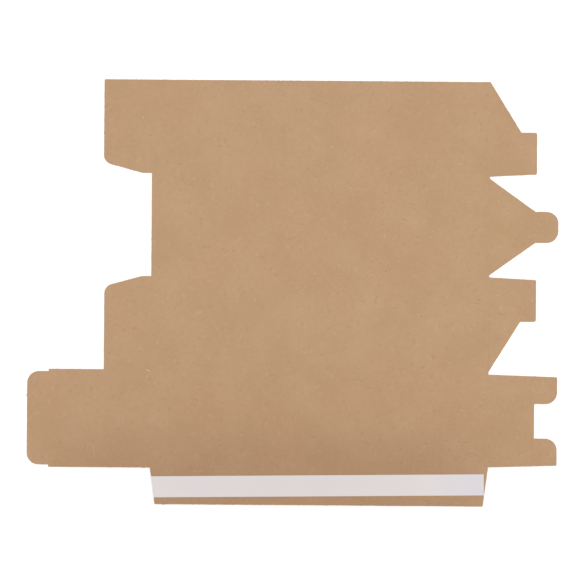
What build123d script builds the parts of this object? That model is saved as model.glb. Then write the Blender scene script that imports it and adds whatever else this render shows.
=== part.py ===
from build123d import *

import os
from math import radians, tan

# Flat die-cut blank of a tall gift carton, in millimetres.
# X runs along the height of the finished box, from the lid at -X to the snap-lock bottom at +X.
# Y runs across the row of walls, from the first wall at +Y to the glue flap at -Y.
# The blank lies on its scored face at Z = 0, with the origin below the middle of its outline.

# Board and scoring
board = 1.5
crease_width = 2.0
crease_depth = 0.6
crease_run_out = 1.0
slit = 0.1
knife_radius = 0.8

# Walls of the finished box
box_height = 317.0
side_wall = 90.0
face_wall = 92.0

# Tuck flap at the end of the lid
tuck_depth = 25.6
tuck_shoulder = 5.4
tuck_inset = 2.2
tuck_radius = 11.0

# Dust flaps beside the lid, the first one cut a little deeper than the second
first_dust_depth = 45.1
second_dust_depth = 43.9
dust_relief = 2.4
dust_shoulder = 8.8
dust_slope = 15.2
dust_radius = 9.0

# Tongue flap and slot flap, which lock together across the bottom
lock_line = 43.1
lock_radius = 10.8
tongue_width = 29.1
tongue_length = 21.4
tongue_relief = 0.65
tongue_clearance = 1.7
slot_relief = 2.5
slot_taper = 1.8

# Side flaps, which the tongue and the slot hold between them
side_depth = 44.1
side_relief = 1.3
side_taper = 2.9
tab_width = 39.2
tab_length = 14.8
tab_radius = 2.0

# Glue flap and the adhesive strip that was laid on it a little askew
glue_depth = 34.3
glue_taper = 7.65
strip_width = 19.8
strip_thickness = 0.2
strip_setback = 15.9
strip_short_by = 3.6
strip_skew = 0.76
liner_thickness = 0.12

# The lid closes over the side walls, so it is as deep as they are wide
lid_depth = side_wall

# The tongue and the prongs beside the notch reach equally far past the line where they lock
lock_depth = lock_line + tongue_length

# Lines that the blank is laid out on
blank_length = tuck_depth + lid_depth + box_height + lock_depth
blank_width = 2 * (side_wall + face_wall) + glue_depth
tuck_line = -blank_length / 2 + tuck_depth
lid_line = tuck_line + lid_depth
bottom_line = lid_line + box_height
free_edge = blank_width / 2
fold_1_2 = free_edge - side_wall
fold_2_3 = fold_1_2 - face_wall
fold_3_4 = fold_2_3 - side_wall
glue_line = fold_3_4 - face_wall


def outline(*corners):
    """Flat face through the corners, each (x, y), or (x, y, radius) where it is rounded."""
    face = make_face(Polyline(*[corner[:2] for corner in corners], close=True))
    for x, y, *radius in corners:
        if radius:
            face = fillet(face.vertices().sort_by_distance((x, y))[0], radius[0])
    return face


def groove(start, end):
    """Round-bottomed groove along a crease, as a tool to cut from the underside."""
    line = Line(start, end)
    across = Vector(0, 0, 1).cross(line % 0)
    half = crease_width / 2
    nose = ThreePointArc((-half, 0), (0, crease_depth), (half, 0))
    below = Polyline((half, 0), (half, -crease_depth), (-half, -crease_depth), (-half, 0))
    return extrude(Plane(line @ 0, across, line % 0) * make_face(nose + below), line.length)


def flap_groove(line, y_low, y_high):
    """Groove across the blank, where a flap between two heights along Y is hinged on the line."""
    return groove((line, y_low - crease_run_out), (line, y_high + crease_run_out))


def wall_groove(fold):
    """Groove along the whole row of walls, where one wall folds on the next."""
    return groove((lid_line - crease_run_out, fold), (bottom_line + crease_run_out, fold))


def wall_panels():
    """Four walls in one sheet, grooved where they fold and where the flaps are hinged."""
    sheet = extrude(
        outline(
            (lid_line, free_edge),
            (lid_line, glue_line),
            (bottom_line, glue_line),
            (bottom_line, free_edge),
        ),
        board,
    )
    for fold in (fold_1_2, fold_2_3, fold_3_4, glue_line):
        sheet -= wall_groove(fold)
    sheet -= flap_groove(bottom_line, glue_line, free_edge)
    sheet -= flap_groove(lid_line, fold_1_2 + dust_relief, free_edge)
    sheet -= flap_groove(lid_line, glue_line, fold_2_3 - dust_relief)
    return sheet


def lid_panel():
    """Lid on the fourth wall, slit from the dust flap beside it."""
    slit_side = fold_3_4 - slit / 2
    face = outline(
        (lid_line, glue_line),
        (lid_line, slit_side),
        (tuck_line, slit_side),
        (tuck_line, glue_line),
    )
    sheet = extrude(face, board)
    for line in (lid_line, tuck_line):
        sheet -= flap_groove(line, glue_line, slit_side)
    return sheet


def tuck_flap():
    """Tuck flap with shoulders at the crease and a narrower, round-cornered tongue."""
    slit_side = fold_3_4 - slit / 2
    shoulder_line = tuck_line - tuck_shoulder
    end_line = tuck_line - tuck_depth
    face = outline(
        (tuck_line, slit_side),
        (shoulder_line, slit_side),
        (shoulder_line, slit_side - tuck_inset),
        (end_line, slit_side - tuck_inset, tuck_radius),
        (end_line, glue_line + tuck_inset, tuck_radius),
        (shoulder_line, glue_line + tuck_inset),
        (shoulder_line, glue_line),
        (tuck_line, glue_line),
    )
    return extrude(face, board) - flap_groove(tuck_line, glue_line, slit_side)


def dust_flap(depth, straight_side, fold, outward):
    """Dust flap with one straight side and one that is shouldered, sloped and rounded.

    outward is +1 or -1, the way along Y from the fold to the straight side.
    """
    end_line = lid_line - depth
    shoulder_side = fold + outward * dust_relief
    slope_rise = (depth - dust_shoulder) * tan(radians(dust_slope))
    face = outline(
        (lid_line, straight_side),
        (end_line, straight_side, knife_radius),
        (end_line, shoulder_side + outward * slope_rise, dust_radius),
        (lid_line - dust_shoulder, shoulder_side),
        (lid_line, shoulder_side),
    )
    return extrude(face, board) - flap_groove(lid_line, *sorted((straight_side, shoulder_side)))


def side_flap(sloped_side, fold, outward):
    """Bottom side flap, cut away on one side to a tab that the lock catches.

    outward is +1 or -1, the way along Y from the fold to the sloped side.
    """
    end_line = bottom_line + side_depth
    near_side = fold + outward * side_relief
    tab_near = near_side + outward * side_depth * tan(radians(side_taper))
    tab_far = tab_near + outward * tab_width
    face = outline(
        (bottom_line, sloped_side),
        (end_line - tab_length, tab_far),
        (end_line, tab_far, tab_radius),
        (end_line, tab_near, knife_radius),
        (bottom_line, near_side),
    )
    return extrude(face, board) - flap_groove(bottom_line, *sorted((sloped_side, near_side)))


def tongue_flap():
    """Bottom flap that narrows to a round-cornered tongue."""
    middle = (fold_1_2 + fold_2_3) / 2
    hinge_half = face_wall / 2 - tongue_relief
    tongue_half = tongue_width / 2
    neck_line = bottom_line + lock_line
    end_line = bottom_line + lock_depth
    face = outline(
        (bottom_line, middle + hinge_half),
        (neck_line, middle + tongue_half),
        (end_line, middle + tongue_half, lock_radius),
        (end_line, middle - tongue_half, lock_radius),
        (neck_line, middle - tongue_half),
        (bottom_line, middle - hinge_half),
    )
    return extrude(face, board) - flap_groove(bottom_line, middle - hinge_half, middle + hinge_half)


def slot_flap():
    """Bottom flap with two prongs and, between them, the notch that takes the tongue."""
    middle = (fold_3_4 + glue_line) / 2
    hinge_half = face_wall / 2 - slot_relief
    end_half = hinge_half - lock_depth * tan(radians(slot_taper))
    notch_half = tongue_width / 2 + tongue_clearance
    notch_line = bottom_line + lock_line
    end_line = bottom_line + lock_depth
    face = outline(
        (bottom_line, middle + hinge_half),
        (end_line, middle + end_half, knife_radius),
        (end_line, middle + notch_half, lock_radius),
        (notch_line, middle + notch_half),
        (notch_line, middle - notch_half),
        (end_line, middle - notch_half, lock_radius),
        (end_line, middle - end_half, knife_radius),
        (bottom_line, middle - hinge_half),
    )
    return extrude(face, board) - flap_groove(bottom_line, middle - hinge_half, middle + hinge_half)


def glue_outline():
    """Outline of the glue flap, which tapers towards its free edge."""
    end_side = glue_line - glue_depth
    end_inset = glue_depth * tan(radians(glue_taper))
    return outline(
        (lid_line, glue_line),
        (bottom_line, glue_line),
        (bottom_line - end_inset, end_side, knife_radius),
        (lid_line + end_inset, end_side, knife_radius),
    )


def glue_flap():
    """Glue flap along the fourth wall."""
    return extrude(glue_outline(), board) - wall_groove(glue_line)


def strip_layer(bottom, thickness):
    """One layer of the adhesive strip, trimmed where it would pass the flap's tapered ends."""
    middle = Pos((lid_line + bottom_line) / 2, glue_line - strip_setback)
    cut_end = Pos(-strip_short_by / 2, 0)
    strip = middle * Rot(0, 0, strip_skew) * cut_end * Rectangle(box_height - strip_short_by, strip_width)
    return Pos(0, 0, bottom) * extrude(strip & glue_outline(), thickness)


pieces = {
    "wall_panels": wall_panels(),
    "lid_panel": lid_panel(),
    "tuck_flap": tuck_flap(),
    "first_dust_flap": dust_flap(first_dust_depth, free_edge, fold_1_2, 1),
    "second_dust_flap": dust_flap(second_dust_depth, fold_3_4 + slit / 2, fold_2_3, -1),
    "first_side_flap": side_flap(free_edge, fold_1_2, 1),
    "tongue_flap": tongue_flap(),
    "second_side_flap": side_flap(fold_3_4, fold_2_3, -1),
    "slot_flap": slot_flap(),
    "glue_flap": glue_flap(),
    "adhesive_strip": strip_layer(board, strip_thickness),
    "release_liner": strip_layer(board + strip_thickness, liner_thickness),
}

os.makedirs("parts", exist_ok=True)
for name, piece in pieces.items():
    piece.label = name
    export_step(piece, f"parts/{name}.step")
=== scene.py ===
# %% [markdown]
# # Flat blank of a kraft gift carton
# The object is a bottle carton before it is folded: one die-cut sheet of brown corrugated board, seen
# from straight above, with a strip of adhesive tape on its glue flap. The CAD model gives every outline
# and every hinge. This lesson dresses each panel as real corrugated board, two papers with a wavy one
# between them, and then lights it as in the photograph.

# %% Load the CAD model as a fixed frame
import math

import bmesh
import bpy
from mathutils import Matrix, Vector


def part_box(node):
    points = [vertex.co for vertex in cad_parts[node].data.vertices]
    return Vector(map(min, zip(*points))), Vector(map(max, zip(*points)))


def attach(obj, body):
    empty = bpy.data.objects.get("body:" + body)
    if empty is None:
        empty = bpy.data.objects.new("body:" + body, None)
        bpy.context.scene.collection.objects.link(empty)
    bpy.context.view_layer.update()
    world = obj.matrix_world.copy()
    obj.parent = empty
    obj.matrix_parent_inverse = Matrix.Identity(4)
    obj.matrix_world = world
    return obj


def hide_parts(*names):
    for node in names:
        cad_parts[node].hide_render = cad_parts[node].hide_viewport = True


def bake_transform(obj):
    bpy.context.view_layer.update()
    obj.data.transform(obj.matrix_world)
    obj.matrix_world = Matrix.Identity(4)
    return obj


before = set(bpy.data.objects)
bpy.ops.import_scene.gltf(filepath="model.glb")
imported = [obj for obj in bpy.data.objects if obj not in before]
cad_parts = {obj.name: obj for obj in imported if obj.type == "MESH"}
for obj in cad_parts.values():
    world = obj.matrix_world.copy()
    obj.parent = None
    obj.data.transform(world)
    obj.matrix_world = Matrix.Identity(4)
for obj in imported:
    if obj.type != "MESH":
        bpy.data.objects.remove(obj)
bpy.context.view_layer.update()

print("CAD nodes:", sorted(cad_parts))

# %% [markdown]
# ## Lines of the blank
# Everything is laid out on a few straight lines, so they are read once from the CAD boxes: where the lid
# and the bottom flaps are hinged, where the tuck flap is, and where the glue flap begins. X runs along the
# height of the finished box, Y across the row of walls, and Z is up from the table.

# %% Read the fold lines from the CAD boxes
MM = 0.001
walls_low, walls_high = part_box("wall_panels")
lid_line = walls_low.x
bottom_line = walls_high.x
glue_line = walls_low.y
free_edge = walls_high.y
tuck_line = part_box("lid_panel")[0].x
board = walls_high.z
print("board is %.2f mm thick" % (board / MM))

# %% [markdown]
# ## Camera
# The photograph looks straight down, and the blank lies in it turned by less than half a degree. A long
# lens keeps the far edges of the board from showing. The camera's height follows from how much table fits
# across the picture, so it is worked out and not guessed.

# %% Place the camera straight above the blank
view_width = 548.7 * MM
lens = 100.0
sensor = 36.0
turn_in_picture = math.radians(0.43)
picture_middle = (-0.33 * MM, 0.37 * MM)
camera_height = view_width * lens / sensor

camera_data = bpy.data.cameras.new("camera")
camera_data.lens = lens
camera_data.sensor_width = sensor
camera = bpy.data.objects.new("camera", camera_data)
bpy.context.collection.objects.link(camera)
camera.location = (*picture_middle, board + camera_height)
camera.rotation_euler = (0, 0, turn_in_picture)
bpy.context.scene.camera = camera
print("camera is %.0f mm above the board" % (camera_height / MM))

# %% [markdown]
# ## Colours and nodes
# Colours are written as the sRGB hex values that a colour picker shows. Blender's shaders work in linear
# light, so one function turns them over. A second small function adds a shader node, sets its properties
# and either fills or links its inputs, which keeps the materials readable from top to bottom.

# %% Helpers for materials
def linear(hex_colour):
    """Linear RGBA of an sRGB hex colour."""
    levels = [int(hex_colour[i:i + 2], 16) / 255 for i in (1, 3, 5)]
    curve = [v / 12.92 if v <= 0.04045 else ((v + 0.055) / 1.055) ** 2.4 for v in levels]
    return (*curve, 1.0)


def add(tree, kind, inputs, **settings):
    """Add a node: inputs are values or the sockets that feed them, settings are its properties."""
    made = tree.nodes.new(kind)
    for name, value in settings.items():
        setattr(made, name, value)
    for key, value in inputs.items():
        if isinstance(value, bpy.types.NodeSocket):
            tree.links.new(value, made.inputs[key])
        else:
            made.inputs[key].default_value = value
    return made


def new_material(name):
    """An empty node material, its tree and its Principled shader."""
    material = bpy.data.materials.new(name)
    material.use_nodes = True
    tree = material.node_tree
    return material, tree, tree.nodes["Principled BSDF"]


print("kraft brown in linear light:", [round(v, 3) for v in linear("#C09C7B")])

# %% [markdown]
# ## Kraft paper
# Kraft liner is unbleached wood pulp, rolled smooth but never coated. It gives the eye a dull, warm brown
# with no gloss, cloudy where the pulp settled unevenly, and full of short fibres, dark bark and pale wood.
# It could be painted as an image, which would blur up close. Here noise of several sizes makes the clouds:
# a slow drift of hue, clouds a few centimetres wide, and a fine mottle. The pattern reads where each
# point lay on the flat sheet, an attribute that every board piece carries, so it runs unbroken across the
# creases and stays on the paper when a flap is folded.

# %% Clouds in the kraft
hue_patch = 120 * MM
cloud_size = 48 * MM
mottle_size = 3.0 * MM

kraft, tree, surface = new_material("kraft_liner")
place = add(tree, "ShaderNodeAttribute", {}, attribute_name="flat_place").outputs["Vector"]

clouds = add(tree, "ShaderNodeTexNoise",
             {"Vector": place, "Scale": 1 / cloud_size, "Detail": 4, "Roughness": 0.6})
sheet_colour = add(tree, "ShaderNodeValToRGB", {"Fac": clouds.outputs["Fac"]})
tones = sheet_colour.color_ramp.elements
tones[0].position = 0.25
tones[0].color = linear("#BD9976")
tones[1].position = 0.75
tones[1].color = linear("#C4A17F")
for position, tone in ((0.42, "#BE9A77"), (0.52, "#C09C7A"), (0.60, "#C19D7B")):
    tones.new(position).color = linear(tone)

hue = add(tree, "ShaderNodeTexNoise",
          {"Vector": place, "W": 3, "Scale": 1 / hue_patch, "Detail": 4, "Roughness": 0.6},
          noise_dimensions="4D")
hue_drift = add(tree, "ShaderNodeMapRange",
                {"Value": hue.outputs["Fac"], "From Min": 0.3, "From Max": 0.7,
                 "To Min": 0.497, "To Max": 0.503})
mottle = add(tree, "ShaderNodeTexNoise",
             {"Vector": place, "Scale": 1 / mottle_size, "Detail": 4, "Roughness": 0.6})
shade = add(tree, "ShaderNodeMapRange",
            {"Value": mottle.outputs["Fac"], "From Min": 0.25, "From Max": 0.75,
             "To Min": 0.975, "To Max": 1.025})
pulp = add(tree, "ShaderNodeHueSaturation",
           {"Hue": hue_drift.outputs["Result"], "Value": shade.outputs["Result"],
            "Color": sheet_colour.outputs["Color"]})
print("clouds of %.0f mm over patches of %.0f mm" % (cloud_size / MM, hue_patch / MM))

# %% [markdown]
# ## Flecks in the kraft
# The flecks could be thousands of tiny meshes on the sheet. Voronoi cells are lighter: each cell holds one
# fleck, turned and faded by the cell's own random colour, so no two are alike and nothing repeats. Before
# that, a slow noise stretches the sheet a little, so that the flecks crowd in one place and thin out in
# another, as in real pulp. Real fibres are a few hundredths of a millimetre wide, too fine to show in the
# picture, so the layers are drawn as coarse as they need to be seen.

# %% One layer of flecks
def flecks(tree, place, cell, length, width, share):
    """Mask of flecks in millimetres: one in each cell of a share of the cells, most of them faint."""
    spots = add(tree, "ShaderNodeTexVoronoi", {"Vector": place, "Scale": 1 / (cell * MM)},
                voronoi_dimensions="2D", feature="F1")
    chance = add(tree, "ShaderNodeSeparateColor", {"Color": spots.outputs["Color"]})
    from_middle = add(tree, "ShaderNodeVectorMath", {0: place, 1: spots.outputs["Position"]},
                      operation="SUBTRACT")
    angle = add(tree, "ShaderNodeMath", {0: chance.outputs["Red"], 1: math.pi}, operation="MULTIPLY")
    turned = add(tree, "ShaderNodeVectorRotate",
                 {"Vector": from_middle.outputs["Vector"], "Angle": angle.outputs["Value"]},
                 rotation_type="Z_AXIS")
    sized = add(tree, "ShaderNodeVectorMath",
                {0: turned.outputs["Vector"], 1: (2 / (length * MM), 2 / (width * MM), 0)},
                operation="MULTIPLY")
    reach = add(tree, "ShaderNodeVectorMath", {0: sized.outputs["Vector"]}, operation="LENGTH")
    body = add(tree, "ShaderNodeMapRange",
               {"Value": reach.outputs["Value"], "From Min": 0.5, "From Max": 1.1,
                "To Min": 1, "To Max": 0},
               interpolation_type="SMOOTHSTEP")
    present = add(tree, "ShaderNodeMath", {0: chance.outputs["Green"], 1: share}, operation="LESS_THAN")
    strength = add(tree, "ShaderNodeMath", {0: chance.outputs["Blue"], 1: 2}, operation="POWER")
    shown = add(tree, "ShaderNodeMath", {0: body.outputs["Result"], 1: present.outputs["Value"]},
                operation="MULTIPLY")
    return add(tree, "ShaderNodeMath", {0: shown.outputs["Value"], 1: strength.outputs["Value"]},
               operation="MULTIPLY").outputs["Value"]


print("a fleck layer is one mask between 0 and 1")

# %% Strew the flecks over the kraft
stretch_size = 45 * MM
stretch = 40 * MM
# Each layer: cell, length and width in millimetres, share of cells with a fleck, colour
fleck_layers = {
    "fibres": (1.6, 2.6, 0.25, 0.9, "#BA9673"),
    "bark": (5.8, 4.6, 1.6, 0.9, "#B99472"),
    "pale_wood": (6.4, 4.6, 1.6, 0.9, "#C5A280"),
    "dirt": (40.0, 1.8, 1.2, 0.6, "#997754"),
    "lint": (52.0, 1.9, 1.1, 0.5, "#DDC0A1"),
}

drift = add(tree, "ShaderNodeTexNoise", {"Vector": place, "Scale": 1 / stretch_size, "Detail": 1})
off_centre = add(tree, "ShaderNodeVectorMath", {0: drift.outputs["Color"], 1: (0.5, 0.5, 0.5)},
                 operation="SUBTRACT")
strewn = add(tree, "ShaderNodeVectorMath",
             {0: off_centre.outputs["Vector"], 1: (stretch, stretch, 0), 2: place},
             operation="MULTIPLY_ADD").outputs["Vector"]

# Places of a colour Mix node's sockets, whose names appear more than once on the node
FACTOR, COLOUR_A, COLOUR_B, MIXED = 0, 6, 7, 2
colour = pulp.outputs["Color"]
for cell, length, width, share, tone in fleck_layers.values():
    mask = flecks(tree, strewn, cell, length, width, share)
    colour = add(tree, "ShaderNodeMix", {FACTOR: mask, COLOUR_A: colour, COLOUR_B: linear(tone)},
                 data_type="RGBA").outputs[MIXED]
tree.links.new(colour, surface.inputs["Base Color"])
print(len(fleck_layers), "layers of flecks")

# %% [markdown]
# ## Tooth of the kraft
# Uncoated paper has a fine tooth that breaks up what little shine is left, so it looks dry from every
# side. It could be modelled, at millions of faces, and a bump in the material does the same. The real
# tooth is finer than a tenth of a millimetre and is drawn coarser here, so that it shows up close.

# %% Tooth and dullness of the kraft
tooth_size = 0.5 * MM
tooth_depth = 0.04 * MM
tooth = add(tree, "ShaderNodeTexNoise", {"Vector": place, "Scale": 1 / tooth_size, "Detail": 2})
bumped = add(tree, "ShaderNodeBump",
             {"Height": tooth.outputs["Fac"], "Strength": 0.25, "Distance": tooth_depth})
tree.links.new(bumped.outputs["Normal"], surface.inputs["Normal"])
surface.inputs["Roughness"].default_value = 0.92
surface.inputs["Specular IOR Level"].default_value = 0.2
print("kraft liner has", len(tree.nodes), "nodes")

# %% [markdown]
# ## Recycled paper inside the board
# Inside the board runs a thinner paper, the fluting, made from recycled pulp. It shows only where the
# knife cut through the sheet, together with the raw edges of the two liners. It gives the eye a darker,
# greyer and blotchier brown than the liner, so the cut edges stand out. So little of it shows that one
# noise between two browns is enough.

# %% The fluting material
blotch_size = 0.8 * MM
fluting, tree, surface = new_material("recycled_fluting")
place = add(tree, "ShaderNodeAttribute", {}, attribute_name="flat_place").outputs["Vector"]
blotches = add(tree, "ShaderNodeTexNoise", {"Vector": place, "Scale": 1 / blotch_size, "Detail": 3})
raw = add(tree, "ShaderNodeMix",
          {FACTOR: blotches.outputs["Fac"], COLOUR_A: linear("#96765A"), COLOUR_B: linear("#B5967A")},
          data_type="RGBA")
tree.links.new(raw.outputs[MIXED], surface.inputs["Base Color"])
surface.inputs["Roughness"].default_value = 0.95
surface.inputs["Specular IOR Level"].default_value = 0.15
print("fluting has", len(tree.nodes), "nodes")

# %% [markdown]
# ## Hinges of the flaps
# Each flap turns on one crease. On a real carton the board doesn't break there in a sharp line: the scored
# band bends, and its outside goes round in a small arc. So a flap's own mesh gets rows of points in a
# narrow band beside the crease, where it could bend from the body that carries it to its own body. The
# table names the two bodies, the axis that leads across the crease, where the crease is on that axis, and
# which way the flap lies from it.

# %% The table of flaps
ACROSS_X, ACROSS_Y = 0, 1
flaps = {
    "lid_panel": ("walls", "lid", ACROSS_X, lid_line, -1),
    "tuck_flap": ("lid", "tuck", ACROSS_X, tuck_line, -1),
    "first_dust_flap": ("walls", "first_dust", ACROSS_X, lid_line, -1),
    "second_dust_flap": ("walls", "second_dust", ACROSS_X, lid_line, -1),
    "first_side_flap": ("walls", "first_side", ACROSS_X, bottom_line, 1),
    "tongue_flap": ("walls", "tongue", ACROSS_X, bottom_line, 1),
    "second_side_flap": ("walls", "second_side", ACROSS_X, bottom_line, 1),
    "slot_flap": ("walls", "slot", ACROSS_X, bottom_line, 1),
    "glue_flap": ("walls", "glue", ACROSS_Y, glue_line, -1),
}
print(len(flaps), "flaps, each on its own crease")

# %% Find the points on a crease
crease_tolerance = 0.02 * MM
creases = []
for name, (_, _, across, line, _) in flaps.items():
    low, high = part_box(name)
    creases.append((across, line, low[1 - across], high[1 - across]))


def on_a_crease(point):
    """Whether a point lies on a crease, where two pieces of the sheet meet."""
    for across, line, low, high in creases:
        in_reach = low - crease_tolerance < point[1 - across] < high + crease_tolerance
        if in_reach and abs(point[across] - line) < crease_tolerance:
            return True
    return False


longest = max(high - low for _, _, low, high in creases)
print("longest crease is %.0f mm" % (longest / MM))

# %% [markdown]
# ## Two liners from each CAD solid
# A panel's outline is already exact in the CAD model, so it isn't drawn again. A copy of the CAD mesh is
# merged, because it comes as loose triangles, and its flat faces are dissolved into single ones. Taking
# away its side faces leaves two skins, the upper one flat and the lower one with the pressed grooves.

# %% Helpers for editing a piece
def start_editing(piece):
    """Edit one piece alone, with all of it selected."""
    bpy.ops.object.select_all(action="DESELECT")
    piece.select_set(True)
    bpy.context.view_layer.objects.active = piece
    bpy.ops.object.mode_set(mode="EDIT")
    bpy.ops.mesh.select_all(action="SELECT")


def pick(piece, kind, wanted):
    """Select, in edit mode, just the verts, edges or faces that a test wants."""
    bpy.ops.mesh.select_mode(type={"verts": "VERT", "edges": "EDGE", "faces": "FACE"}[kind])
    bpy.ops.mesh.select_all(action="DESELECT")
    mesh = bmesh.from_edit_mesh(piece.data)
    found = [part for part in getattr(mesh, kind) if wanted(part)]
    for part in found:
        part.select_set(True)
    mesh.select_flush_mode()
    bmesh.update_edit_mesh(piece.data)
    return len(found)


print("pieces are edited one at a time")

# %% Copy a CAD solid and keep its two skins
merge_distance = 0.001 * MM
flat_within = math.radians(0.5)
upright_below = 0.3


def copy_of_solid(node, name):
    """A merged copy of a CAD node's mesh, as a piece of its own."""
    piece = bpy.data.objects.new(name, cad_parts[node].data.copy())
    piece.data.materials.clear()
    bpy.context.collection.objects.link(piece)
    start_editing(piece)
    bpy.ops.mesh.remove_doubles(threshold=merge_distance)
    bpy.ops.mesh.dissolve_limited(angle_limit=flat_within)
    bpy.ops.object.mode_set(mode="OBJECT")
    return piece


def keep_skins(piece):
    """Take away the upright faces, which leaves the upper and the lower skin."""
    start_editing(piece)
    pick(piece, "faces", lambda face: abs(face.normal.z) < upright_below)
    bpy.ops.mesh.delete(type="FACE")
    bpy.ops.object.mode_set(mode="OBJECT")


print("skins come from the CAD solids")

# %% [markdown]
# ## Cut edges
# A die-cut edge is never a perfect line: the knife crushes and tears the fibres a little as it goes
# through. A bump in the material can't change an outline, so the mesh itself is made rough. The cut edges
# are divided into short lengths and pushed about by a fine cloud texture, by a tenth of a millimetre or
# two. The points on a crease stay where they are, so that the panels still meet. A few tufts stand out
# further. They are nicks, small bridges of board that held the blank in its sheet and tore when it was
# pushed out.

# %% Pull out the nicks
cut_length = 1.6 * MM
nick_height = 0.45 * MM
# Each nick: the axis and direction of the side that it stands on, and its place along that side
nicks = {
    "wall_panels": (ACROSS_Y, 1, 81 * MM),
    "lid_panel": (ACROSS_Y, -1, -138 * MM),
    "tuck_flap": (ACROSS_X, -1, -98 * MM),
    "first_dust_flap": (ACROSS_X, -1, 149 * MM),
    "second_dust_flap": (ACROSS_X, -1, -15 * MM),
    "glue_flap": (ACROSS_Y, -1, -120 * MM),
}


def pull_nick(piece, node):
    """Pull out the points of a cut edge that lie at the node's nick."""
    axis, way, along = nicks[node]
    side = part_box(node)[way > 0][axis]
    pick(piece, "verts", lambda vert: abs(vert.co[axis] - side) < nick_height
         and abs(vert.co[1 - axis] - along) < cut_length / 2)
    pull = Vector((0, 0, 0))
    pull[axis] = way * nick_height
    bpy.ops.transform.translate(value=pull)


print(len(nicks), "nicks")

# %% Divide and roughen the cut edges
ragged_push = 0.45 * MM
ragged = {}
for axis, grain in (("X", 2.6 * MM), ("Y", 3.1 * MM)):
    ragged[axis] = bpy.data.textures.new("ragged_" + axis, "CLOUDS")
    ragged[axis].noise_scale = grain
    ragged[axis].noise_depth = 1


def is_cut(edge):
    """Whether a skin's edge is a cut one: on the outline, but not on a crease."""
    return edge.is_boundary and not on_a_crease((edge.verts[0].co + edge.verts[1].co) / 2)


def apply_all(piece):
    """Apply a piece's modifiers in their order."""
    bpy.ops.object.select_all(action="DESELECT")
    piece.select_set(True)
    bpy.context.view_layer.objects.active = piece
    for name in [modifier.name for modifier in piece.modifiers]:
        bpy.ops.object.modifier_apply(modifier=name)


def roughen_cut_edges(piece, node):
    """Divide the cut edges until they are short, pull out the nick, then push their points about."""
    start_editing(piece)
    while pick(piece, "edges", lambda edge: is_cut(edge) and edge.calc_length() > cut_length):
        bpy.ops.mesh.subdivide(number_cuts=1)
    if node in nicks:
        pull_nick(piece, node)
    mesh = bmesh.from_edit_mesh(piece.data)
    loose = [v.index for v in mesh.verts if v.is_boundary and not on_a_crease(v.co)]
    bpy.ops.object.mode_set(mode="OBJECT")
    group = piece.vertex_groups.new(name="cut_edge")
    group.add(loose, 1.0, "REPLACE")
    for axis, texture in ragged.items():
        push = piece.modifiers.new("ragged_" + axis, "DISPLACE")
        push.texture = texture
        push.texture_coords = "LOCAL"
        push.direction = axis
        push.strength = ragged_push
        push.vertex_group = group.name
    apply_all(piece)
    piece.vertex_groups.clear()


print("cut edges are divided every %.1f mm" % (cut_length / MM))

# %% [markdown]
# ## Slit
# One knife cut parts the lid from the dust flap beside it. The blade is a wedge, so the cut is open by a
# hair at the top and shut at the bottom, and it shows as a faint line, dark in places. The points along it
# are drawn towards its middle, the lower ones all the way.

# %% Close the slit towards the table
slit_line = (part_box("lid_panel")[1].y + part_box("second_dust_flap")[0].y) / 2
slit_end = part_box("second_dust_flap")[0].x
slit_reach = 0.45 * MM
slit_left_open = {"upper": 0.5, "lower": 0}


def close_slit(piece):
    """Draw a piece's points along the slit together."""
    start_editing(piece)
    for skin, left_open in slit_left_open.items():
        pick(piece, "verts", lambda vert: vert.is_boundary and (vert.co.z > board / 2) == (skin == "upper")
             and abs(vert.co.y - slit_line) < slit_reach and slit_end < vert.co.x < lid_line)
        bpy.ops.transform.resize(value=(1, left_open, 1), center_override=(0, slit_line, 0))
    bpy.ops.object.mode_set(mode="OBJECT")


print("slit is %.0f mm long" % ((lid_line - slit_end) / MM))

# %% [markdown]
# ## Bending band
# To bend, a mesh needs rows of points to bend at. Bisect cuts them straight through the piece, side by
# side across the scored band. One more row just past the band keeps the shading of the flat part flat.

# %% Cut the rows of the bending band
band = 2.4 * MM
band_rows = 8
past_the_band = 1.5


def cut_across(piece, across, places):
    """Cut a piece straight through at each of the places along one axis."""
    start_editing(piece)
    for at in places:
        on_plane = Vector((0, 0, 0))
        on_plane[across] = at
        direction = Vector((0, 0, 0))
        direction[across] = 1
        bpy.ops.mesh.select_all(action="SELECT")
        bpy.ops.mesh.bisect(plane_co=on_plane, plane_no=direction)
    bpy.ops.object.mode_set(mode="OBJECT")


def cut_band(piece, node):
    """Cut the rows of a flap's bending band, and one row past it."""
    _, _, across, line, way = flaps[node]
    steps = [band * row / band_rows for row in range(1, band_rows + 1)] + [band * past_the_band]
    cut_across(piece, across, [line + way * step for step in steps])


print("band of %.1f mm in %d rows" % (band / MM, band_rows))

# %% [markdown]
# ## Fluting
# Between the liners of this fine board stands a wave of paper about 3.3 mm from crest to crest. It runs
# along the height of the box, as it does in most cartons, because that way the walls carry more weight.
# A sine curve would need many rows of points for each flute. Here the wave starts as a flat grid with two:
# every other row is moved up and the rest down, the sharp crests are rounded by a bevel, Solidify gives
# the paper its thickness, and a Boolean trims it to the panel. The form that trims it is made a little
# flatter than the panel, so that the wave ends inside the liners and never shows through them where a
# crease is pressed in.

# %% Fold a flat grid into a wave
flute_pitch = 3.3 * MM
flute_rise = 0.56 * MM
crest_bevel = 0.55 * MM
crest_segments = 3


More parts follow.
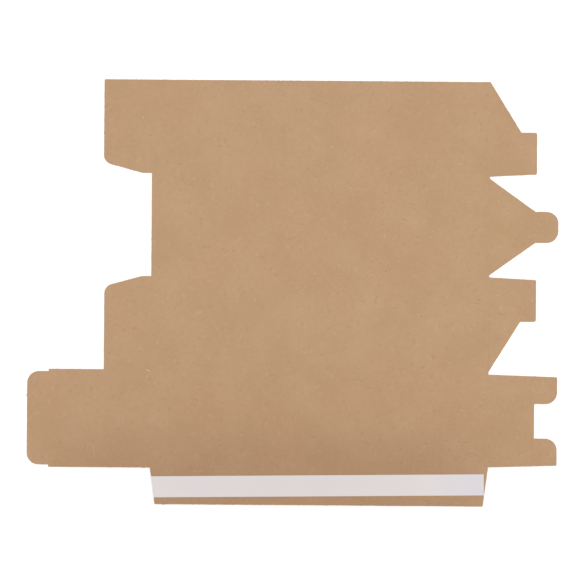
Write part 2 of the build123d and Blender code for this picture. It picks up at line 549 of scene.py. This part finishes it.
def wave_sheet(low, high, name):
    """A wavy sheet that covers the ground between two corners."""
    row = flute_pitch / 2
    first = math.floor(low.y / row) - 1
    last = math.ceil(high.y / row) + 1
    middle = ((low.x + high.x) / 2, (first + last) * row / 2, board / 2)
    bpy.ops.object.select_all(action="DESELECT")
    bpy.ops.mesh.primitive_grid_add(x_subdivisions=1, y_subdivisions=last - first, size=1, location=middle)
    wave = bpy.context.object
    wave.name = name
    wave.scale = (high.x - low.x + flute_pitch, (last - first) * row, 1)
    bpy.ops.object.transform_apply(location=True, rotation=True, scale=True)
    start_editing(wave)
    for remainder, rise in ((0, flute_rise), (1, -flute_rise)):
        pick(wave, "verts", lambda vert: round(vert.co.y / row) % 2 == remainder)
        bpy.ops.transform.translate(value=(0, 0, rise))
    pick(wave, "edges", lambda edge: abs(edge.verts[0].co.y - edge.verts[1].co.y) < row / 2
         and not edge.is_boundary)
    bpy.ops.mesh.bevel(offset=crest_bevel, segments=crest_segments, profile=0.5, affect="EDGES")
    bpy.ops.object.mode_set(mode="OBJECT")
    return wave


print("flutes every %.1f mm" % (flute_pitch / MM))

# %% Trim the wave to a panel
flute_paper = 0.18 * MM
form_flattened = 0.85


def fluted_core(form, name):
    """The wavy paper inside a panel, trimmed to the panel's solid form."""
    low = Vector([min(v.co[axis] for v in form.data.vertices) for axis in range(3)])
    high = Vector([max(v.co[axis] for v in form.data.vertices) for axis in range(3)])
    core = wave_sheet(low, high, name)
    start_editing(form)
    bpy.ops.transform.resize(value=(1, 1, form_flattened), center_override=(0, 0, board / 2))
    bpy.ops.object.mode_set(mode="OBJECT")
    thick = core.modifiers.new("paper", "SOLIDIFY")
    thick.thickness = flute_paper
    thick.offset = 0
    trim = core.modifiers.new("trim", "BOOLEAN")
    trim.operation = "INTERSECT"
    trim.solver = "MANIFOLD"
    trim.object = form
    apply_all(core)
    core.data.materials.clear()
    core.data.materials.append(fluting)
    return core


print("fluting paper is %.2f mm thick" % (flute_paper / MM))

# %% [markdown]
# ## Board panels
# Now each panel is put together: skins with rough edges, made into paper by Solidify, and the wave between
# them. Solidify gives the kraft to the outer faces and the recycled paper to the inner ones and the rims.
# The finished mesh notes where each of its points lies on the flat sheet, for the kraft to read.

# %% Turn the skins into paper
liner_paper = 0.25 * MM


def thicken_skins(piece):
    """Give the two skins the thickness of paper, inwards, with kraft on the outside only."""
    piece.data.materials.append(kraft)
    piece.data.materials.append(fluting)
    thick = piece.modifiers.new("liner_paper", "SOLIDIFY")
    thick.thickness = liner_paper
    thick.offset = -1
    thick.use_even_offset = True
    thick.material_offset = 1
    thick.material_offset_rim = 1
    apply_all(piece)


print("liners are %.2f mm thick" % (liner_paper / MM))

# %% Build the panels of corrugated board
smooth_within = math.radians(35)
# The walls are cut where a crease on their edge ends, so that each stretch is all cut or all crease
crease_ends = {end for across, _, *span in creases if across == ACROSS_X for end in span}
wall_cuts = sorted(end for end in crease_ends if glue_line < end < free_edge)


def board_panel(node):
    """Corrugated board in the shape of a CAD node."""
    form = copy_of_solid(node, "form")
    panel = copy_of_solid(node, node + "_board")
    keep_skins(panel)
    if node == "wall_panels":
        cut_across(panel, ACROSS_Y, wall_cuts)
    roughen_cut_edges(panel, node)
    if node in ("lid_panel", "second_dust_flap"):
        close_slit(panel)
    thicken_skins(panel)
    core = fluted_core(form, "core")
    bpy.data.objects.remove(form)
    bpy.ops.object.select_all(action="DESELECT")
    core.select_set(True)
    panel.select_set(True)
    bpy.context.view_layer.objects.active = panel
    bpy.ops.object.join()
    if node in flaps:
        cut_band(panel, node)
    bpy.ops.object.select_all(action="DESELECT")
    panel.select_set(True)
    bpy.ops.object.shade_smooth_by_angle(angle=smooth_within)
    flat_place = panel.data.attributes.new("flat_place", "FLOAT_VECTOR", "POINT")
    flat_place.data.foreach_set("vector", [value for v in panel.data.vertices for value in v.co])
    return panel


panels = {}
for node in ["wall_panels", *flaps]:
    panels[node] = board_panel(node)
    mesh = panels[node].data
    mesh.calc_loop_triangles()
    heights = [v.co.z / MM for v in mesh.vertices]
    print(node, len(mesh.vertices), "points", len(mesh.loop_triangles), "triangles",
          "z %.3f to %.3f" % (min(heights), max(heights)))

# %% [markdown]
# ## Hanging the walls
# A panel of the walls just rides on them. A flap could ride on its own body, but then it would part from
# the walls at the crease. Here a flap is not hung on any body: its place is only baked into its points,
# flat on the sheet.

# %% Hang the wall panel on its body and bake the flaps in place
def hang(piece, node):
    """Bake a piece's place into its mesh; the flap's crease and the end of its band are worked out but not
    used.
    """
    carrier, own, across, line, way = flaps[node]
    crease = Vector((0, 0, board))
    crease[across] = line
    past_band = crease.copy()
    past_band[across] = line + way * band
    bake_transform(piece)


for node, panel in panels.items():
    if node in flaps:
        hang(panel, node)
    else:
        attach(panel, "walls")
    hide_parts(node)
print(len(panels), "panels hung")

# %% [markdown]
# ## Torn shred
# Where the slit beside the lid ends at the crease, the knife lifted a shred of the liner, which lies
# across the slit and shows its pale, torn side. It starts as a flat grid. Row by row it is raised into a
# low arch, swept to one side and drawn out to a thin end, and Solidify gives it the thickness of paper.
# Torn kraft is fluffy and has lost its pressed skin, so it gives the eye a paler and quite dull brown.

# %% The torn paper
fluff_size = 0.6 * MM
torn, tree, surface = new_material("torn_kraft")
spot = add(tree, "ShaderNodeTexCoord", {}).outputs["Object"]
fluff = add(tree, "ShaderNodeTexNoise", {"Vector": spot, "Scale": 1 / fluff_size, "Detail": 3})
pale = add(tree, "ShaderNodeMix",
           {FACTOR: fluff.outputs["Fac"], COLOUR_A: linear("#D2B18E"), COLOUR_B: linear("#EBD4B9")},
           data_type="RGBA")
tree.links.new(pale.outputs[MIXED], surface.inputs["Base Color"])
surface.inputs["Roughness"].default_value = 1.0
surface.inputs["Specular IOR Level"].default_value = 0.1
print("torn kraft has", len(tree.nodes), "nodes")

# %% Shape the shred
shred_length = 5.0 * MM
shred_width = 0.9 * MM
shred_rise = 0.5 * MM
shred_sweep = 0.7 * MM
shred_paper = 0.12 * MM
shred_rows = 10
# The width follows a stretch of a half wave, which starts at the root and runs on to the thin end
root_of_wave = 0.2
stretch_of_wave = 0.7

bpy.ops.object.select_all(action="DESELECT")
bpy.ops.mesh.primitive_grid_add(x_subdivisions=shred_rows, y_subdivisions=2, size=1)
shred = bpy.context.object
shred.name = "slit_shred"
shred.scale = (shred_length, shred_width, 1)
shred.location = (shred_length / 2, 0, 0)
bpy.ops.object.transform_apply(location=True, rotation=True, scale=True)
start_editing(shred)
for row in range(shred_rows + 1):
    along = row / shred_rows
    at = along * shred_length
    share_of_width = math.sin(math.pi * (root_of_wave + stretch_of_wave * along))
    arch = shred_rise * math.sin(math.pi * along)
    pick(shred, "verts", lambda vert: abs(vert.co.x - at) < shred_paper)
    bpy.ops.transform.resize(value=(1, share_of_width, 1), center_override=(at, 0, 0))
    bpy.ops.transform.translate(value=(0, shred_sweep * along ** 2, arch))
bpy.ops.object.mode_set(mode="OBJECT")
thick = shred.modifiers.new("paper", "SOLIDIFY")
thick.thickness = shred_paper
thick.offset = 1
apply_all(shred)
print("shred of", len(shred.data.vertices), "points")

# %% Lay the shred across the slit
root_from_crease = 0.3 * MM
root_from_slit = 1.6 * MM
turn_to_tip = math.radians(152)

shred.location = (lid_line - root_from_crease, slit_line - root_from_slit, board)
shred.rotation_euler.z = turn_to_tip
bpy.ops.object.transform_apply(location=True, rotation=True, scale=True)
bpy.ops.object.shade_smooth_by_angle(angle=smooth_within)
shred.data.materials.clear()
shred.data.materials.append(torn)
hang(shred, "lid_panel")

# %% [markdown]
# ## Tape
# Along the glue flap lies a strip of double-sided adhesive under its white release paper. The two CAD
# solids have the right shape already, so they stay and only get their finish. Release paper is glassine
# with a thin coat of silicone, which gives the eye an even, slightly cool white with a faint gloss. Its
# right end is painted a shade greyer, as painted shade where the card's shade thins out at that end. The
# adhesive shows only as a thin line at the strip's edges, milky and a little glossier.

# %% Release paper
paper_drift = 40 * MM
painted_shade_length = 50 * MM
tape_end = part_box("release_liner")[1].x

release_paper, tree, surface = new_material("siliconised_release_paper")
spot = add(tree, "ShaderNodeTexCoord", {}).outputs["Object"]
drift = add(tree, "ShaderNodeTexNoise", {"Vector": spot, "Scale": 1 / paper_drift, "Detail": 1})
white = add(tree, "ShaderNodeMix",
            {FACTOR: drift.outputs["Fac"], COLOUR_A: linear("#F3F0EF"), COLOUR_B: linear("#F3EEF2")},
            data_type="RGBA")
# Painted shade: over the last stretch of the strip the white is mixed towards a greyer white
along = add(tree, "ShaderNodeSeparateXYZ", {"Vector": spot})
painted_shade_end = add(tree, "ShaderNodeMapRange",
             {"Value": along.outputs["X"], "From Min": tape_end - painted_shade_length, "From Max": tape_end})
liner_colour = add(tree, "ShaderNodeMix",
                   {FACTOR: painted_shade_end.outputs["Result"], COLOUR_A: white.outputs[MIXED],
                    COLOUR_B: linear("#E8E5EB")},
                   data_type="RGBA")
tree.links.new(liner_colour.outputs[MIXED], surface.inputs["Base Color"])
surface.inputs["Roughness"].default_value = 0.55
surface.inputs["Specular IOR Level"].default_value = 0.3
print("release paper has", len(tree.nodes), "nodes")

# %% Adhesive, and both finishes on the tape
glue_drift = 4 * MM

adhesive, tree, surface = new_material("pale_adhesive")
spot = add(tree, "ShaderNodeTexCoord", {}).outputs["Object"]
drift = add(tree, "ShaderNodeTexNoise", {"Vector": spot, "Scale": 1 / glue_drift, "Detail": 2})
milky = add(tree, "ShaderNodeMix",
            {FACTOR: drift.outputs["Fac"], COLOUR_A: linear("#D9D2C0"), COLOUR_B: linear("#E4DED0")},
            data_type="RGBA")
tree.links.new(milky.outputs[MIXED], surface.inputs["Base Color"])
surface.inputs["Roughness"].default_value = 0.35

for node, material in (("release_liner", release_paper), ("adhesive_strip", adhesive)):
    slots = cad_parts[node].data.materials
    if len(slots):
        slots[0] = material
    else:
        slots.append(material)
print("tape has two finishes")

# %% [markdown]
# ## Table
# The photograph's table is so bright that it is pure white, with no shadow on it. Light strong enough for
# that would wash out the board, so the table's matt white paint also glows a little by itself. It gives
# the eye no edge, no shine and no shadow. The table lies a hair below the blank.

# %% Table
table_size = 8.0
table_gap = 0.2 * MM
bpy.ops.object.select_all(action="DESELECT")
bpy.ops.mesh.primitive_plane_add(size=table_size, location=(0, 0, -table_gap))
table = bpy.context.object
table.name = "table"
table_white, _, surface = new_material("table_white")
surface.inputs["Base Color"].default_value = linear("#F4F4F4")
surface.inputs["Roughness"].default_value = 0.9
surface.inputs["Emission Color"].default_value = (1, 1, 1, 1)
surface.inputs["Emission Strength"].default_value = 0.4
table.data.materials.append(table_white)
print("table is white")

# %% [markdown]
# ## Light
# The photograph has the even, shadowless light of a white tent. A uniform world gives that light, and a
# large soft lamp, a little to the right, lifts it on that side. A narrow card held above the bottom edge
# takes light away there, which is why the lowest wall and the glue flap are darker in the middle. The card
# is dull and brown, so it gives the eye a warm shade with no edge. The camera doesn't see the card.

# %% Tent and lamp
lamp_place = Vector((0.5, 0.1, 2.2))
lamp_size = 2.6
lamp_power = 14

scene = bpy.context.scene
scene.view_settings.view_transform = "Standard"
world = bpy.data.worlds.new("tent")
world.use_nodes = True
tent = world.node_tree.nodes["Background"]
tent.inputs["Color"].default_value = (1, 1, 1, 1)
tent.inputs["Strength"].default_value = 0.79
scene.world = world

lamp_data = bpy.data.lights.new("soft_lamp", "AREA")
lamp_data.shape = "DISK"
lamp_data.size = lamp_size
lamp_data.energy = lamp_power
lamp = bpy.data.objects.new("soft_lamp", lamp_data)
bpy.context.collection.objects.link(lamp)
lamp.location = lamp_place
lamp.rotation_euler = (-lamp_place).to_track_quat("-Z", "Y").to_euler()
print("lamp is %.1f m from the blank" % lamp_place.length)

# %% Brown card above the bottom edge
card_place = (0.6 * MM, -176.5 * MM, 111.5 * MM)
card_size = (394 * MM, 42 * MM)

bpy.ops.object.select_all(action="DESELECT")
bpy.ops.mesh.primitive_plane_add(size=1, location=card_place)
card = bpy.context.object
card.name = "brown_card"
card.scale = (*card_size, 1)
bpy.ops.object.transform_apply(location=True, rotation=True, scale=True)
card_brown, _, surface = new_material("card_brown")
surface.inputs["Base Color"].default_value = linear("#96692C")
surface.inputs["Roughness"].default_value = 1.0
card.data.materials.append(card_brown)
card.visible_camera = False
print("card is %.0f mm above the table" % (card_place[2] / MM))
